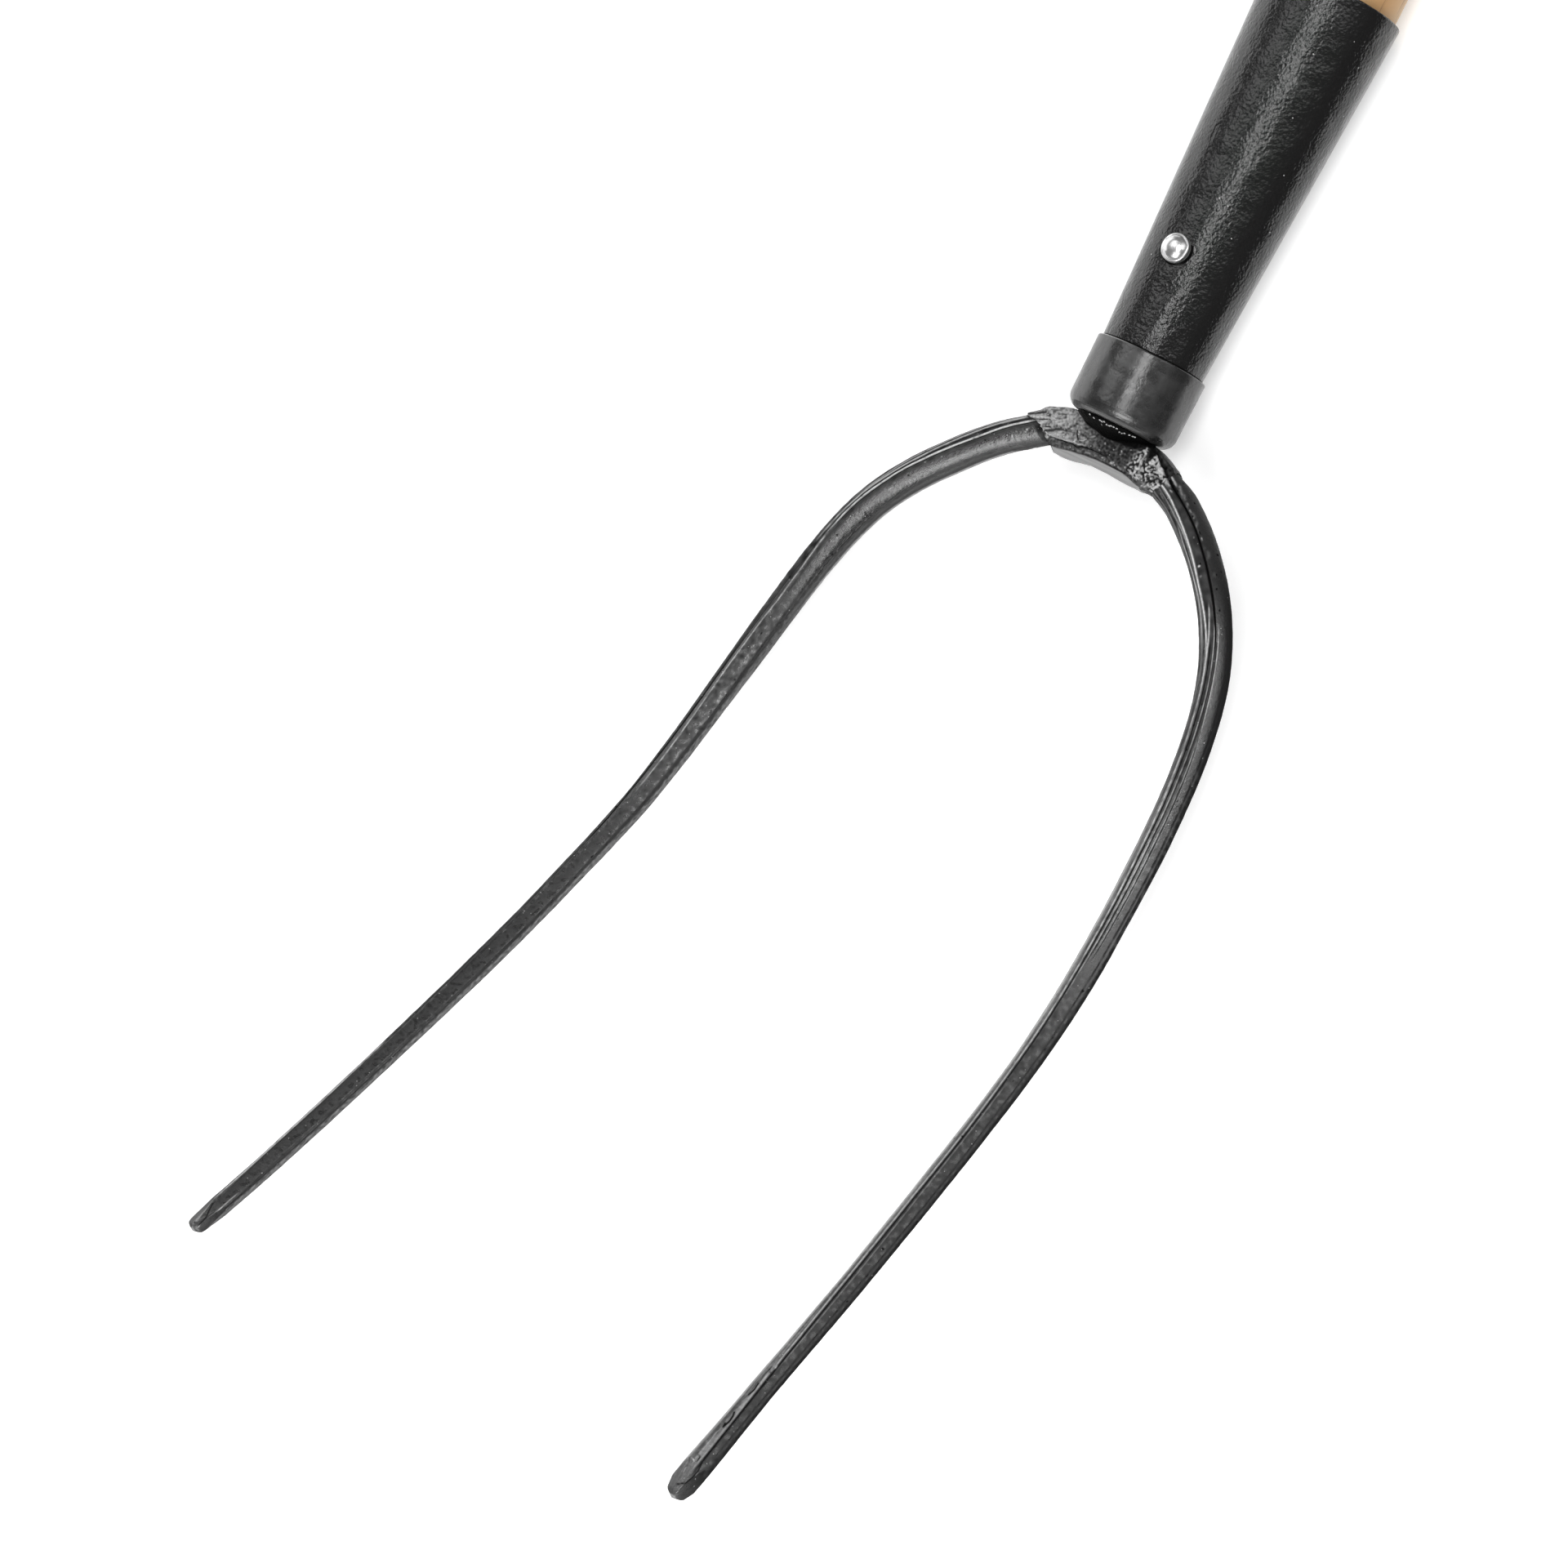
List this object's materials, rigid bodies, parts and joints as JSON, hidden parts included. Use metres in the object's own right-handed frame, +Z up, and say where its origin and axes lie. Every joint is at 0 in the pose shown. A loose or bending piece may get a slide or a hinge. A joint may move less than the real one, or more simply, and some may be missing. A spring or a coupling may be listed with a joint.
{
  "type": "hay fork",
  "caption": "Long-handled hay fork: tapered forged tines on a rough yoke, a capped tapered ferrule and a straight ash handle.",
  "frame": {"origin": "on the handle's axis, where the straight shaft leaves the mouth of the ferrule", "axes": "+X along the handle towards its butt, so the tines point towards -X; +Z up, out of the hollow side that carries the hay; +Y towards the left tine of the picture"},
  "size_m": [1.6768, 0.168, 0.1253],
  "materials": {
    "tine_steel": "blackened forged steel with drawn lines and dull highlights",
    "yoke_steel": "rough forging scale, pitted",
    "weld_steel": "rippled weld bead with scale",
    "cap_enamel": "satin black enamel",
    "sleeve_enamel": "black hammered enamel with an orange-peel surface",
    "rivet_steel": "bright polished dome",
    "ash": "oiled ash with long straight grain"
  },
  "bodies": {
    "root": {"tine_left": "tine_steel", "tine_right": "tine_steel", "yoke": "yoke_steel", "weld_left": "weld_steel", "weld_right": "weld_steel", "ferrule_cap": "cap_enamel", "ferrule_sleeve": "sleeve_enamel", "rivet": "rivet_steel", "handle": "ash"}
  },
  "joints": []
}
